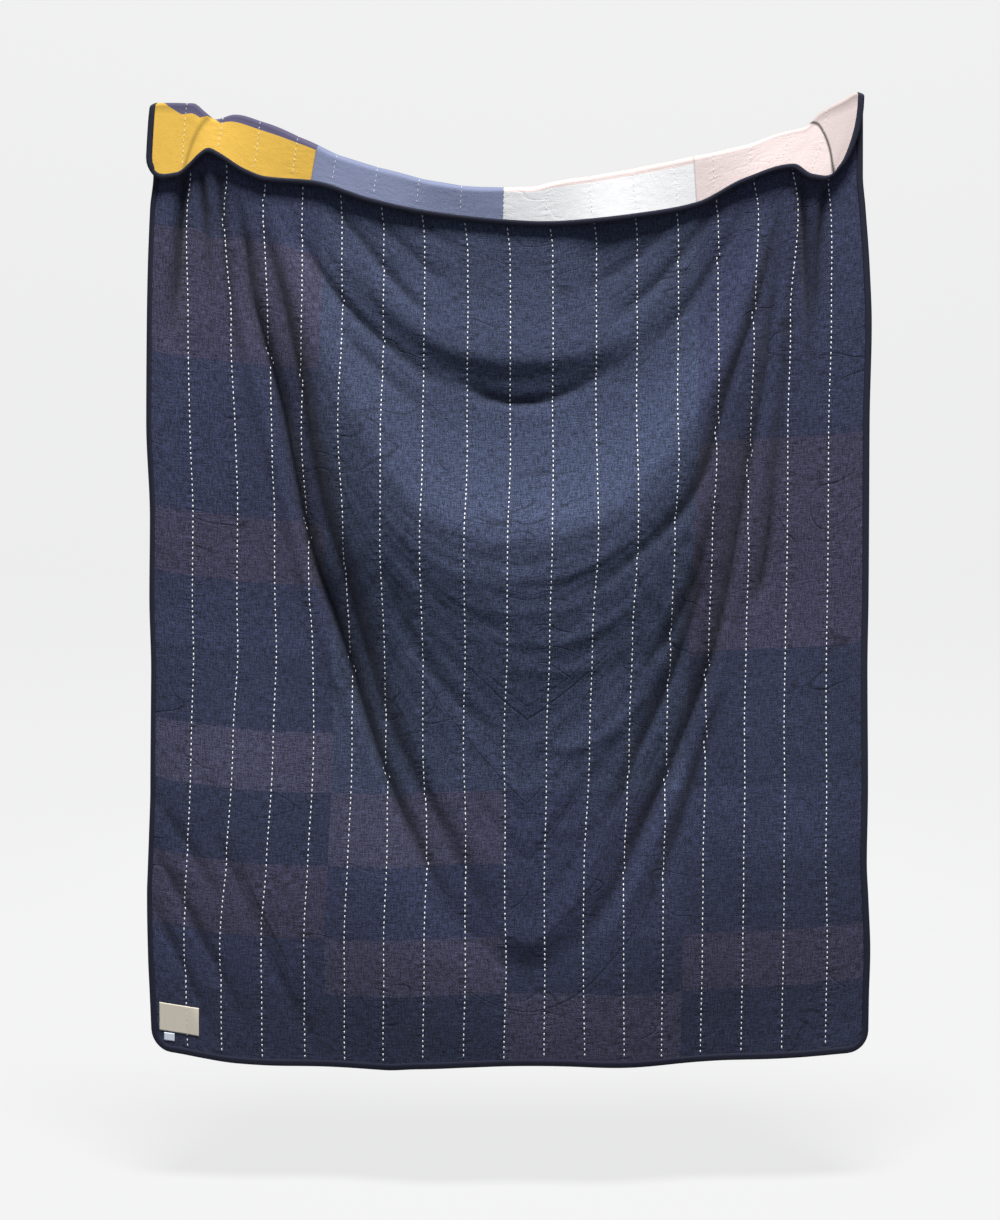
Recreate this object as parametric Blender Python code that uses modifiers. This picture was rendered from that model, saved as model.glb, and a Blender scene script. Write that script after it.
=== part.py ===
"""A patchwork quilt that hangs by its top edge, with a flap of that edge folded to the front.

The plain backing faces -Y and the patchwork faces +Y, but for the flap, which shows the
patchwork at the front. The origin is the middle of the folded top edge. Sizes in the tables
are millimetres as hung: x to the right, z up.
"""
import bpy
import bmesh
import numpy as np
from mathutils.bvhtree import BVHTree

# Driving sizes, in metres
CUT_WIDTH = 1.42
ROW_PITCH = CUT_WIDTH / 18
SHEET = 0.0013
LAYER_GAP = 0.0005
PUFF = 0.0008
TAPE = 0.0009
TAPE_ARM = 0.014
CORNER = ROW_PITCH / 2
CLEAR = 0.00035
LABEL_THICK = 0.0005
LABEL_CLEAR = 0.0005
ROLL = 0.008
JOIN = 0.12
SETTLE = 0.25
SIDE_CURL = 0.012
SIDE_CURL_WIDTH = 0.011
SIDE_DRAW = 0.002
CURL_FADE = 0.30
FOOT_CALM = 0.03
SWAG_RISE = 1.5
SWAG_STAYS = 0.75
SWAG_FADE_TOP = -0.75
SWAG_FADE = 0.75
SWAG_SPREAD = 0.40
LINE_STEP = 0.025
RAY_START = -1.0
TINY = 1e-9
MM = 0.001

# Where the cut width lies once hung: distance across the cloth, x at the crest, x at the
# flap's hem, and the power with which the flap's side edge goes from one to the other
ACROSS = [
    (0, -672, -683, 550),
    (355, -358, -372, 1000),
    (710, -7, -9, 1000),
    (1065, 350, 357, 1000),
    (1420, 672, 622, 2200),
]

# Folded top edge: x, height of the crest, radius of the roll, how far the flap's hem leans out
TOP_EDGE = [
    (-672, 157, 6, 4),
    (-660, 162, 7, 3),
    (-594, 162, 7, 3),
    (-572, 145, 6, 6),
    (-551, 131, 6, 8),
    (-515, 140, 6, 7),
    (-466, 128, 7, 4),
    (-383, 94, 8, 3),
    (-313, 62, 8, 5),
    (-203, 30, 8, 4),
    (-131, 13, 8, 1),
    (-41, 3, 8, 0),
    (40, 3, 8, 1),
    (86, 13, 8, 1),
    (194, 30, 8, 8),
    (347, 60, 8, 2),
    (451, 83, 7, 6),
    (524, 108, 6, 8),
    (564, 117, 6, 7),
    (592, 145, 6, 8),
    (639, 170, 6, 7),
    (660, 182, 6, 6),
    (672, 178, 6, 6),
]

# Lower hem of the flap: x, z
FLAP_HEM = [
    (-683, 22),
    (-659, 20),
    (-624, 24),
    (-601, 41),
    (-582, 59),
    (-565, 69),
    (-547, 61),
    (-498, 31),
    (-457, 16),
    (-372, 9),
    (-260, -25),
    (-164, -46),
    (-9, -64),
    (66, -68),
    (156, -64),
    (265, -51),
    (357, -32),
    (447, 13),
    (535, 39),
    (569, 20),
    (602, 16),
    (622, 24),
]

# Side edges of the hanging panel: z, x of the left edge, x of the right edge
SIDES = [
    (-1640, -670, 680),
    (-1523, -675, 681),
    (-1440, -679, 683),
    (-1335, -681, 679),
    (-1272, -679, 676),
    (-1126, -675, 679),
    (-913, -675, 680),
    (-767, -679, 683),
    (-619, -678, 684),
    (-436, -685, 685),
    (-252, -684, 689),
    (-142, -682, 685),
    (-30, -677, 677),
    (31, -670, 672),
    (170, -672, 672),
]

# Bottom hem: x, z
FOOT = [
    (-672, -1624),
    (-634, -1628),
    (-571, -1637),
    (-508, -1645),
    (-425, -1650),
    (-242, -1652),
    (-178, -1647),
    (-60, -1643),
    (115, -1641),
    (257, -1645),
    (446, -1637),
    (571, -1633),
    (634, -1629),
    (680, -1625),
]

# Front line of the big swag, left to right: x, z, height, reach up to its top, and the power
# with which it falls back below the line, in thousandths
SWAG = [
    (-466, -5, 0, 30, 1400),
    (-423, -128, 12, 40, 1400),
    (-375, -242, 28, 60, 1400),
    (-328, -353, 46, 80, 1400),
    (-276, -455, 63, 104, 1500),
    (-219, -550, 78, 126, 1700),
    (-157, -617, 89, 142, 2000),
    (-81, -657, 95, 150, 2400),
    (14, -674, 97, 152, 2400),
    (109, -662, 94, 150, 2400),
    (191, -632, 86, 140, 2000),
    (256, -581, 74, 124, 1700),
    (313, -505, 60, 102, 1500),
    (360, -423, 47, 80, 1400),
    (408, -328, 34, 60, 1300),
    (446, -233, 22, 46, 1300),
    (484, -119, 12, 34, 1300),
    (514, -5, 0, 25, 1300),
]

# Outer border of the big swag, down the left, round its point and up the right: x, z
SWAG_BORDER = [
    (-522, 14),
    (-495, -100),
    (-480, -204),
    (-451, -309),
    (-423, -414),
    (-400, -537),
    (-366, -689),
    (-328, -794),
    (-288, -917),
    (-246, -1050),
    (-200, -1164),
    (-138, -1288),
    (-81, -1382),
    (-14, -1449),
    (62, -1462),
    (147, -1392),
    (199, -1316),
    (252, -1196),
    (305, -1088),
    (354, -968),
    (396, -850),
    (423, -718),
    (442, -604),
    (461, -490),
    (484, -366),
    (501, -224),
    (525, 4),
]

# Other wide folds of the hanging panel: name, roundness of the upper and the lower side, and
# along the fold x, z, height towards the front, reach of the upper side, reach of the lower side
FOLDS = [
    ("upper_swag", 1.7, 1.7, [
        (-383, -7, 0, 30, 18),
        (-322, -110, 8, 40, 20),
        (-235, -210, 17, 60, 24),
        (-136, -286, 26, 85, 30),
        (-33, -318, 29, 100, 36),
        (81, -318, 27, 100, 36),
        (185, -296, 18, 85, 33),
        (252, -258, 9, 60, 30),
        (347, -157, 4, 40, 26),
        (451, -14, 0, 30, 22),
    ]),
]

# Slow waves towards the bottom hem: x of the crest, height, reach
WAVES = [
    (-520, 9, 90),
    (-330, -8, 80),
    (-150, 9, 85),
    (20, -6, 80),
    (180, 7, 80),
    (350, -7, 80),
    (520, 8, 85),
]
WAVE_TOP = -0.75
WAVE_FULL = -1.45

# Rows of the grid along the panel: where each band ends, and its number of steps
PANEL_BANDS = [
    (0.30, 13),
    (0.62, 13),
    (1.00, 9),
]
ROLL_STEPS = 5
INNER_COLUMNS = 35
FLAP_TAPE_SHARE = 0.4
FLAP_CORNER_SHARE = 0.8

# Sewn labels: x of both sides, z of the left side's ends, fall to the right side, cells
LABELS = {
    "maker_label": {"left": -656, "right": -580, "top": -1534, "foot": -1586, "fall": 10,
                    "cells": (10, 6)},
    "care_label": {"left": -648, "right": -628, "top": -1590, "foot": -1604, "fall": 2,
                   "cells": (4, 3)},
}

COLOURS = {
    "back_cloth": (0.040, 0.050, 0.085, 1.0),
    "pieced_top": (0.72, 0.45, 0.10, 1.0),
    "binding": (0.016, 0.015, 0.022, 1.0),
    "maker_label": (0.74, 0.67, 0.54, 1.0),
    "care_label": (0.75, 0.78, 0.86, 1.0),
}
CLOTH_ROUGHNESS = 0.9


def clear_scene():
    for obj in list(bpy.data.objects):
        bpy.data.objects.remove(obj)


def smooth(table, column, at):
    """Value of a table's column at the first column's values, without overshoot."""
    xs = np.array([row[0] for row in table]) * MM
    ys = np.array([row[column] for row in table]) * MM
    step = np.diff(xs)
    slope = np.diff(ys) / step
    tangent = np.zeros(len(xs))
    same = slope[:-1] * slope[1:] > 0
    safe = np.where(same, slope[:-1] + slope[1:], 1.0)
    tangent[1:-1] = np.where(same, 2 * slope[:-1] * slope[1:] / safe, 0.0)
    tangent[0] = slope[0]
    tangent[-1] = slope[-1]
    at = np.clip(at, xs[0], xs[-1])
    k = np.clip(np.searchsorted(xs, at) - 1, 0, len(step) - 1)
    t = (at - xs[k]) / step[k]
    start = ys[k] * (1 + 2 * t) * (1 - t) ** 2 + step[k] * tangent[k] * t * (1 - t) ** 2
    end = ys[k + 1] * t * t * (3 - 2 * t) - step[k] * tangent[k + 1] * t * t * (1 - t)
    return start + end


def ease(value):
    value = np.clip(value, 0.0, 1.0)
    return value * value * (3 - 2 * value)


def round_line(rows):
    """A smooth curve through the rows' points, and their other columns along it."""
    table = np.array(rows, float) * MM
    ends = np.vstack([2 * table[0] - table[1], table, 2 * table[-1] - table[-2]])
    out = []
    for k in range(len(table) - 1):
        a, b, c, d = ends[k:k + 4]
        count = max(2, int(np.hypot(*(c - b)[:2]) / LINE_STEP))
        for t in np.arange(count) / count:
            bend = (2 * a - 5 * b + 4 * c - d) * t * t + (3 * b - a - 3 * c + d) * t ** 3
            spot = b + 0.5 * ((c - a) * t + bend)
            spot[2:] = b[2:] + (c[2:] - b[2:]) * t
            out.append(spot)
    out.append(table[-1])
    out = np.array(out)
    return out[:, :2], out[:, 2:]


def to_segment(line, k, x, z):
    """Distance to the line's segment k, the share of the way along it, and which side."""
    step = line[k + 1] - line[k]
    length = np.hypot(*step)
    dx, dz = step / length
    run = np.clip((x - line[k, 0]) * dx + (z - line[k, 1]) * dz, 0.0, length)
    off_x = x - line[k, 0] - run * dx
    off_z = z - line[k, 1] - run * dz
    return np.hypot(off_x, off_z), run / length, dx * off_z - dz * off_x


def nearest(line, x, z):
    """Distance to a line, whether each point lies on its left, and where along it."""
    best = np.full(x.shape, np.inf)
    side = np.zeros(x.shape)
    place = np.zeros(x.shape)
    for k in range(len(line) - 1):
        distance, share, turn = to_segment(line, k, x, z)
        nearer = distance < best
        best = np.where(nearer, distance, best)
        side = np.where(nearer, turn, side)
        place = np.where(nearer, k + share, place)
    return best, side > 0, place


def along_line(sizes, place, column):
    return np.interp(place, np.arange(len(sizes)), sizes[:, column])


def fold_height(fold, x, z):
    """Height of one fold at each point: a soft ridge along its line."""
    _, first_roundness, second_roundness, rows = fold
    line, sizes = round_line(rows)
    distance, first, place = nearest(line, x, z)
    reach = np.where(first, along_line(sizes, place, 1), along_line(sizes, place, 2))
    roundness = np.where(first, first_roundness, second_roundness)
    return along_line(sizes, place, 0) * np.exp(-(distance / reach) ** roundness)


def swag_height(x, z):
    """The big swag: it rises to its front line from above and hangs on from there.

    Its borders fade out downwards, where the cloth beside it comes forward too.
    """
    line, sizes = round_line(SWAG)
    distance, above, place = nearest(line, x, z)
    rising = np.zeros(x.shape)
    for k in range(len(line) - 1):
        gap, share, _ = to_segment(line, k, x, z)
        height = sizes[k, 0] + (sizes[k + 1, 0] - sizes[k, 0]) * share
        reach = sizes[k, 1] + (sizes[k + 1, 1] - sizes[k, 1]) * share
        rising = np.maximum(rising, height * np.exp(-(gap / reach) ** SWAG_RISE))
    border, inside, _ = nearest(round_line(SWAG_BORDER)[0], x, z)
    stays = SWAG_STAYS * ease((SWAG_FADE_TOP - z) / SWAG_FADE)
    share = distance / (distance + border)
    hanging = np.where(inside, 1.0 - share ** along_line(sizes, place, 2) * (1.0 - stays),
                       stays * np.exp(-(border / SWAG_SPREAD) ** 2))
    return np.where(above, rising, along_line(sizes, place, 0) * hanging)


def relief(x, z):
    """How far the hanging panel comes forward at each point."""
    total = swag_height(x, z)
    for fold in FOLDS:
        total += fold_height(fold, x, z)
    low = ease((WAVE_TOP - z) / (WAVE_TOP - WAVE_FULL))
    for centre, height, reach in WAVES:
        total += low * height * MM * np.exp(-((x - centre * MM) / (reach * MM)) ** 2)
    return total


def flap_shape(u):
    """Crest, flap hem, roll radius, turning angle and straight length at each distance across."""
    crest_x = smooth(ACROSS, 1, u)
    hem_x = smooth(ACROSS, 2, u)
    crest_z = smooth(TOP_EDGE, 1, crest_x)
    radius = smooth(TOP_EDGE, 2, crest_x)
    lean = smooth(TOP_EDGE, 3, crest_x)
    drop = crest_z - smooth(FLAP_HEM, 1, hem_x) - radius
    straight = np.sqrt(lean ** 2 + drop ** 2 - radius ** 2)
    turn = np.arctan2(drop, lean) + np.arctan2(radius, straight)
    return crest_x, crest_z, hem_x, radius, turn, straight


def hang(u, v):
    """Point of the hung quilt: v runs 0 to 1 up the flap, to 2 over the roll, to 3 down the back."""
    crest_x, crest_z, hem_x, radius, turn, straight = flap_shape(u)
    share = u / CUT_WIDTH

    # Flap and roll
    down = np.clip(1 - v, 0.0, 1.0) * straight
    angle = turn - np.clip(v - 1, 0.0, 1.0) * (turn + np.pi / 2)
    forward = radius * np.sin(angle) + down * np.cos(turn)
    below = radius * (1 - np.cos(angle)) + down * np.sin(turn)
    gone = np.clip((radius * angle + down) / (radius * turn + straight), 0.0, 1.0)
    x = crest_x + (hem_x - crest_x) * gone ** smooth(ACROSS, 3, u)
    z = crest_z - below

    # Panel below the roll
    fall = np.clip(v - 2, 0.0, 1.0)
    foot_z = smooth(FOOT, 1, crest_x)
    panel_z = z - fall * (z - foot_z)
    left = smooth(SIDES, 1, panel_z)
    right = smooth(SIDES, 2, panel_z)
    panel_x = left + share * (right - left)
    hung = crest_z - radius - panel_z
    x = np.where(v > 2, x + (panel_x - x) * ease(hung / JOIN), x)
    z = np.where(v > 2, panel_z, z)
    calm = ease(hung / SETTLE)
    curled = calm * ease((panel_z - foot_z - FOOT_CALM) / CURL_FADE)
    near = u / SIDE_CURL_WIDTH
    x = x - np.where(v > 2, SIDE_DRAW * curled * near * np.exp(1 - near), 0.0)
    curl = SIDE_CURL * curled * np.exp(-near)
    depth = forward + np.where(v > 2, (radius - ROLL) * calm + (relief(x, z) - curl) * calm, 0.0)
    return np.stack([x, -depth, z], axis=-1)


def columns():
    inner = np.arange(1, INNER_COLUMNS + 1) * CORNER
    return np.concatenate([[0.0, TAPE_ARM], inner, [CUT_WIDTH - TAPE_ARM, CUT_WIDTH]])


def panel_rows():
    rows = [0.0]
    for end, steps in PANEL_BANDS:
        rows += list(np.linspace(rows[-1], end, steps + 1)[1:])
    return rows


def round_corner(across, up, reach_across, reach_up):
    """Draws the corner of a rectangle in to an arc; the distances are from its two edges."""
    a = np.clip(1 - across / reach_across, 0.0, 1.0)
    b = np.clip(1 - up / reach_up, 0.0, 1.0)
    size = np.maximum(np.hypot(a, b), TINY)
    pull = np.maximum(a, b) / size
    inside = (a > 0) & (b > 0)
    new_across = np.where(inside, reach_across * (1 - a * pull), across)
    new_up = np.where(inside, reach_up * (1 - b * pull), up)
    return new_across, new_up


def corner_row(u_line, up, reach):
    """A row near a hem, at the given distance from it, with both its ends rounded off."""
    left_u, left_up = round_corner(u_line, up, CORNER, reach)
    right_u, right_up = round_corner(CUT_WIDTH - u_line, up, CORNER, reach)
    on_left = u_line < CUT_WIDTH / 2
    return np.where(on_left, left_u, CUT_WIDTH - right_u), np.where(on_left, left_up, right_up)


def quilt_grid():
    """Points, front-pointing normals and the distance across, row by row from the flap's hem."""
    u_line = columns()
    crest_x, crest_z, _, radius, _, straight = flap_shape(u_line)
    panel = crest_z - radius - smooth(FOOT, 1, crest_x)
    flap_corner = np.minimum(CORNER, FLAP_CORNER_SHARE * straight)
    flap_arm = np.minimum(TAPE_ARM, FLAP_TAPE_SHARE * straight)
    rows_u = []
    rows_v = []
    for up in (0 * straight, flap_arm, flap_corner, (flap_corner + straight) / 2):
        row_u, row_up = corner_row(u_line, up, flap_corner)
        rows_u.append(row_u)
        rows_v.append(row_up / straight)
    for step in range(ROLL_STEPS):
        rows_u.append(u_line)
        rows_v.append(np.full(u_line.shape, 1 + step / ROLL_STEPS))
    for part in panel_rows():
        rows_u.append(u_line)
        rows_v.append(2 + part * (1 - CORNER / panel))
    for up in (TAPE_ARM, 0.0):
        row_u, row_up = corner_row(u_line, np.full(u_line.shape, up), CORNER)
        rows_u.append(row_u)
        rows_v.append(3 - row_up / panel)
    u = np.array(rows_u)
    points = hang(u, np.array(rows_v))
    normal = np.cross(np.gradient(points, axis=1), np.gradient(points, axis=0))
    return points, unit(normal), u


def puff_height(u):
    """The cloth swells between the stitched rows and lies flat in them and under the tape."""
    swell = np.abs(np.sin(np.pi * u / ROW_PITCH))
    swell[:2] = 0
    swell[-2:] = 0
    swell[:, :2] = 0
    swell[:, -2:] = 0
    return PUFF * swell


def grid_mesh(points):
    """A triangulated bmesh grid whose vertices take the given points."""
    rows, cols = points.shape[:2]
    mesh = bmesh.new()
    bmesh.ops.create_grid(mesh, x_segments=cols - 1, y_segments=rows - 1, size=1)
    for vert in mesh.verts:
        col = round((vert.co.x + 1) / 2 * (cols - 1))
        row = round((vert.co.y + 1) / 2 * (rows - 1))
        vert.co = points[row, col]
    bmesh.ops.triangulate(mesh, faces=mesh.faces, quad_method="FIXED")
    return mesh


def finish(name, mesh, thickness, collection):
    """Turns a bmesh surface into a named object with its thickness and material."""
    data = bpy.data.meshes.new(name)
    mesh.to_mesh(data)
    mesh.free()
    obj = bpy.data.objects.new(name, data)
    collection.objects.link(obj)
    solid = obj.modifiers.new("thickness", "SOLIDIFY")
    solid.thickness = thickness
    solid.offset = 1.0
    material = bpy.data.materials.new(name)
    material.use_nodes = True
    shader = material.node_tree.nodes["Principled BSDF"]
    shader.inputs["Base Color"].default_value = COLOURS[name]
    shader.inputs["Roughness"].default_value = CLOTH_ROUGHNESS
    data.materials.append(material)
    data.shade_smooth()
    return obj


def add_sheet(name, side, points, normal, u, collection):
    """One cloth layer on the +1 or -1 side of the quilt's middle surface."""
    lift = side * (LAYER_GAP / 2 + puff_height(u))
    mesh = grid_mesh(points + normal * lift[..., None])
    if side < 0:
        bmesh.ops.reverse_faces(mesh, faces=mesh.faces)
    return finish(name, mesh, SHEET, collection)


def rim_faces(mesh):
    """Faces of a grid that have no vertex on its edge ring."""
    return [face for face in mesh.faces if not any(vert.is_boundary for vert in face.verts)]


def add_binding(points, normal, collection):
    """The tape: two arms on the cloth's faces, joined round its edge, then given thickness."""
    level = LAYER_GAP / 2 + SHEET + CLEAR
    out = np.array(points)
    rows, cols = points.shape[:2]
    for row in range(rows):
        for col in range(cols):
            inner = (min(max(row, 1), rows - 2), min(max(col, 1), cols - 2))
            if inner != (row, col):
                out[row, col] += unit(points[row, col] - points[inner]) * CLEAR
    joined = bmesh.new()
    for side in (1, -1):
        arm = grid_mesh(out + normal * side * level)
        if side < 0:
            bmesh.ops.reverse_faces(arm, faces=arm.faces)
        bmesh.ops.delete(arm, geom=rim_faces(arm), context="FACES")
        data = bpy.data.meshes.new("arm")
        arm.to_mesh(data)
        arm.free()
        joined.from_mesh(data)
        bpy.data.meshes.remove(data)
    loops = [edge for edge in joined.edges if edge.is_boundary and outer_edge(edge, out)]
    bmesh.ops.bridge_loops(joined, edges=loops)
    bmesh.ops.triangulate(joined, faces=joined.faces, quad_method="FIXED")
    return finish("binding", joined, TAPE, collection)


def outer_edge(edge, points):
    """True where an edge's middle is nearer to the quilt's rim than to the first inner line."""
    rim = np.concatenate([points[0], points[-1], points[:, 0], points[:, -1]])
    inner = np.concatenate([points[1, 1:-1], points[-2, 1:-1], points[1:-1, 1], points[1:-1, -2]])
    ends = [np.array(vert.co) for vert in edge.verts]
    to_rim = max(np.linalg.norm(rim - end, axis=1).min() for end in ends)
    to_inner = max(np.linalg.norm(inner - end, axis=1).min() for end in ends)
    return to_rim < to_inner


def unit(vectors):
    return vectors / np.linalg.norm(vectors, axis=-1, keepdims=True)


def add_label(name, cloth, collection):
    """A small sheet that lies on the backing's face near its lower left corner."""
    size = LABELS[name]
    cells_x, cells_z = size["cells"]
    tree = BVHTree.FromObject(cloth, bpy.context.evaluated_depsgraph_get())
    spots = np.zeros((cells_z + 1, cells_x + 1, 3))
    for i in range(cells_z + 1):
        for j in range(cells_x + 1):
            right = j / cells_x
            x = (size["left"] + right * (size["right"] - size["left"])) * MM
            z = (size["foot"] + i / cells_z * (size["top"] - size["foot"]) - right * size["fall"]) * MM
            hit = tree.ray_cast((x, RAY_START, z), (0.0, 1.0, 0.0))[0]
            spots[i, j] = (x, hit.y - LABEL_CLEAR, z)
    return finish(name, grid_mesh(spots), LABEL_THICK, collection)


def build():
    clear_scene()
    collection = bpy.data.collections.new("patchwork_quilt")
    bpy.context.scene.collection.children.link(collection)
    points, normal, u = quilt_grid()
    add_sheet("pieced_top", 1, points, normal, u, collection)
    backing = add_sheet("back_cloth", -1, points, normal, u, collection)
    add_binding(points, normal, collection)
    for name in LABELS:
        add_label(name, backing, collection)


build()
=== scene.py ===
import math
import bmesh
import bpy
import numpy as np
from mathutils.bvhtree import BVHTree
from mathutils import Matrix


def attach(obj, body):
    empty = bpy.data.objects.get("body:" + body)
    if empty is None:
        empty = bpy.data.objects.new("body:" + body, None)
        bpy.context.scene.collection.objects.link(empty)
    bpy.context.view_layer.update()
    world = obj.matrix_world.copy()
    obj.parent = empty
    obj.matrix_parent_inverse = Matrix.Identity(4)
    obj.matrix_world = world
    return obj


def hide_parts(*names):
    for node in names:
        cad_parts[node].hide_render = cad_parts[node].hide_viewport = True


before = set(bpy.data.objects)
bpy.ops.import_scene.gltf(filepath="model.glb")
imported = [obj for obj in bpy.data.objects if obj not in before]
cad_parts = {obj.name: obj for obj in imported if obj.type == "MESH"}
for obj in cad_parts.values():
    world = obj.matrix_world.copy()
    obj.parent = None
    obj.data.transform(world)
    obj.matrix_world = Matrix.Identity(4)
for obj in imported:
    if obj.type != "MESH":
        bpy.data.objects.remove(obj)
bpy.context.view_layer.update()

MM = 0.001

# The cloths as they are cut, in metres, and the rows that are stitched through both
CUT_WIDTH = 1.42
CUT_LENGTH = 1.93
ROW_COUNT = 17
ROW_PITCH = CUT_WIDTH / (ROW_COUNT + 1)
CORNER = ROW_PITCH / 2
SHEET = 0.0012
LAYER_GAP = 0.0007
PUFF = 0.0009
PUFF_EDGE = 0.03

# The edge tape: its own thickness, and its width on each face
TAPE = 0.0009
TAPE_ARM = 0.0125
FLAP_ARM = 0.0085
TAPE_CLEAR = 0.0004

# The fold over the top edge: the length folded over, and how the cloth eases in below it
FLAP_LENGTH = 0.12
CREST_BLEND = 0.45
ROLL = 0.008
SETTLE = 0.25
SIDE_SETTLE = 0.12

# The sides of the hanging panel curl back a little and draw in
SIDE_CURL = 0.012
SIDE_CURL_WIDTH = 0.011
SIDE_DRAW = 0.002
CURL_FOOT = 0.03
CURL_FADE = 0.30

# The big swag: how it rises from above, and how much of it stays in the cloth round it
SWAG_RISE = 1.5
SWAG_STAYS = 0.75
SWAG_FADE_TOP = -0.75
SWAG_FADE = 0.75
SWAG_SPREAD = 0.40

# Creases and folds in the material: fold depth for the full painted shade, width of a full fold
FULL_SHADE_DEPTH = 0.013
FULL_WIDTH = 0.5
STREAK_FADE = 0.09
DRAPE_ABOVE = 3.0
DRAPE_OUTSIDE = 0.3

# The running stitch: pitch, size, how flat it is pulled and how far it stands out of the cloth
STITCH_PITCH = 0.0100
STITCH_LENGTH = 0.0051
STITCH_WIDTH = 0.0022
STITCH_SHIFT = 0.0006
STITCH_TILT = 0.06
STITCH_MARGIN = 0.004
STITCH_FLAT = 0.7
STITCH_LIFT = 0.35
STITCH_SEARCH = 0.004
STITCH_BARREL = 0.56
STITCH_TIP = 0.45
FRONT_STITCH = 0.42

# Spacing of the cloth's grid: its edge, columns between two stitched rows, rows of each part
EDGE_STEPS = (0.003, 0.009, 0.015, 0.021, 0.027, 0.033)
COLUMNS = 35 * 5
FLAP_STEPS = 6
ROLL_STEPS = 14
PANEL_STEPS = 214

# Across the quilt: cut width, x on the crest, x on the flap's hem, how late the flap spreads
ACROSS = [
    (0, -672, -683, 550),
    (355, -358, -372, 1000),
    (710, -7, -9, 1000),
    (1065, 350, 357, 1000),
    (1420, 672, 622, 2200),
]

# Folded top edge: x, height of the crest, radius of the roll, how far the flap's hem leans out
TOP_EDGE = [
    (-672, 157, 6, 4), (-660, 162, 7, 3), (-594, 162, 7, 3), (-572, 145, 6, 6), (-551, 131, 6, 8),
    (-515, 140, 6, 7), (-466, 128, 7, 4), (-383, 94, 8, 3), (-313, 62, 8, 5), (-203, 30, 8, 4),
    (-131, 13, 8, 1), (-41, 3, 8, 0), (40, 3, 8, 1), (86, 13, 8, 1), (194, 30, 8, 8),
    (347, 60, 8, 2), (451, 83, 7, 6), (524, 108, 6, 8), (564, 117, 6, 7), (592, 145, 6, 8),
    (639, 170, 6, 7), (660, 182, 6, 6), (672, 178, 6, 6),
]

# Lower hem of the flap: x, z
FLAP_HEM = [
    (-683, 22), (-659, 20), (-624, 24), (-601, 41), (-582, 59), (-565, 69), (-547, 61),
    (-498, 31), (-457, 16), (-372, 9), (-260, -25), (-164, -46), (-9, -64), (66, -68), (156, -64),
    (265, -51), (357, -32), (447, 13), (535, 39), (569, 20), (602, 16), (622, 24),
]

# Side edges of the hanging panel: z, x of the left edge, x of the right edge
SIDES = [
    (-1640, -670, 680), (-1523, -675, 681), (-1440, -679, 683), (-1335, -681, 679),
    (-1272, -679, 676), (-1126, -675, 679), (-913, -675, 680), (-767, -679, 683),
    (-619, -678, 684), (-436, -685, 685), (-252, -684, 689), (-142, -682, 685), (-30, -677, 677),
    (31, -670, 672), (170, -672, 672),
]

# Bottom hem: x, z
FOOT = [
    (-672, -1624), (-634, -1628), (-571, -1637), (-508, -1645), (-425, -1650), (-242, -1652),
    (-178, -1647), (-60, -1643), (115, -1641), (257, -1645), (446, -1637), (571, -1633),
    (634, -1629), (680, -1625),
]

# How far the folds pull the cloth sideways: z, then the pull at each eighth of the width
PULL = [
    (-1640, 0, -17, -10, -12, -12, -12, -19, -17, 0),
    (-1440, 0, -12, -4, -5, -5, -14, -17, -17, 0),
    (-1268, 0, 1, 4, 2, -4, -8, -10, -9, 0),
    (-1040, 0, 8, 9, -9, -9, -1, -6, -9, 0),
    (-850, 0, 16, 4, -9, -3, 3, 0, -5, 0),
    (-660, 0, 16, -6, -14, -3, 13, 4, -3, 0),
    (-474, 0, 18, -12, -8, 5, 15, 14, -2, 0),
    (-252, 0, 7, -10, -7, 3, 13, 16, 1, 0),
    (-14, 0, -10, -13, -6, 4, 18, 22, 24, 0),
]

# Front line of the big swag, left to right: x, z, height, reach up to its top, and the power
# with which it falls back below the line, in thousandths
SWAG = [
    (-466, -5, 0, 30, 1400), (-423, -128, 12, 40, 1400), (-375, -242, 28, 60, 1400),
    (-328, -353, 46, 80, 1400), (-276, -455, 63, 104, 1500), (-219, -550, 78, 126, 1700),
    (-157, -617, 89, 142, 2000), (-81, -657, 95, 150, 2400), (14, -674, 97, 152, 2400),
    (109, -662, 94, 150, 2400), (191, -632, 86, 140, 2000), (256, -581, 74, 124, 1700),
    (313, -505, 60, 102, 1500), (360, -423, 47, 80, 1400), (408, -328, 34, 60, 1300),
    (446, -233, 22, 46, 1300), (484, -119, 12, 34, 1300), (514, -5, 0, 25, 1300),
]

# Outer border of the big swag, down the left, round its point and up the right: x, z
SWAG_BORDER = [
    (-522, 14), (-495, -100), (-480, -204), (-451, -309), (-423, -414), (-400, -537),
    (-366, -689), (-328, -794), (-288, -917), (-246, -1050), (-200, -1164), (-138, -1288),
    (-81, -1382), (-14, -1449), (62, -1462), (147, -1392), (199, -1316), (252, -1196),
    (305, -1088), (354, -968), (396, -850), (423, -718), (442, -604), (461, -490), (484, -366),
    (501, -224), (525, 4),
]

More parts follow.
